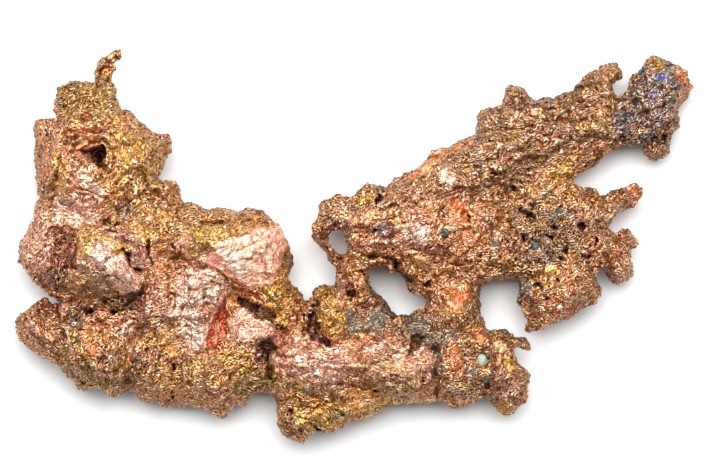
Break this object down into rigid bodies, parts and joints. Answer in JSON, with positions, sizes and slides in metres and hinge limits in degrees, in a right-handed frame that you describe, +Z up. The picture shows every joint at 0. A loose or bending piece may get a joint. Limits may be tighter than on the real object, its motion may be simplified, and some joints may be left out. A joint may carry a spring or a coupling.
{
  "type": "native copper nugget",
  "caption": "Natural native copper specimen: a crumpled branching metal mass with a thick head, an arm and a long wing, with small mineral grains wedged in it, lying flat.",
  "frame": {"origin": "under the middle of the nugget's box, on the surface it lies on", "axes": "+X along the nugget from the thick head to the curled wing tip, +Y across it towards the horn, +Z up, away from the surface"},
  "size_m": [0.1006, 0.058, 0.0169],
  "materials": {
    "native_copper": "bright hackly native copper with red oxide in the creases and grey-violet tarnish on the wing tip",
    "green_crystal": "clear green crystal with flat faces",
    "pale_crystal": "pale blue-white translucent crystal",
    "grey_grain": "dull grey-green host rock",
    "dark_green_grain": "dull dark green mineral",
    "white_grain": "waxy white mineral"
  },
  "bodies": {
    "root": {"copper_nugget": "native_copper", "green_crystal": "green_crystal", "pale_crystal": "pale_crystal", "grey_grain_arm_upper": "grey_grain", "grey_grain_arm_lower": "grey_grain", "dark_green_grain": "dark_green_grain", "grey_grain_wing_left": "grey_grain", "grey_grain_wing_middle": "grey_grain", "grey_grain_wing_pitted": "grey_grain", "grey_grain_wing_right": "grey_grain", "white_grain": "white_grain"}
  },
  "joints": []
}
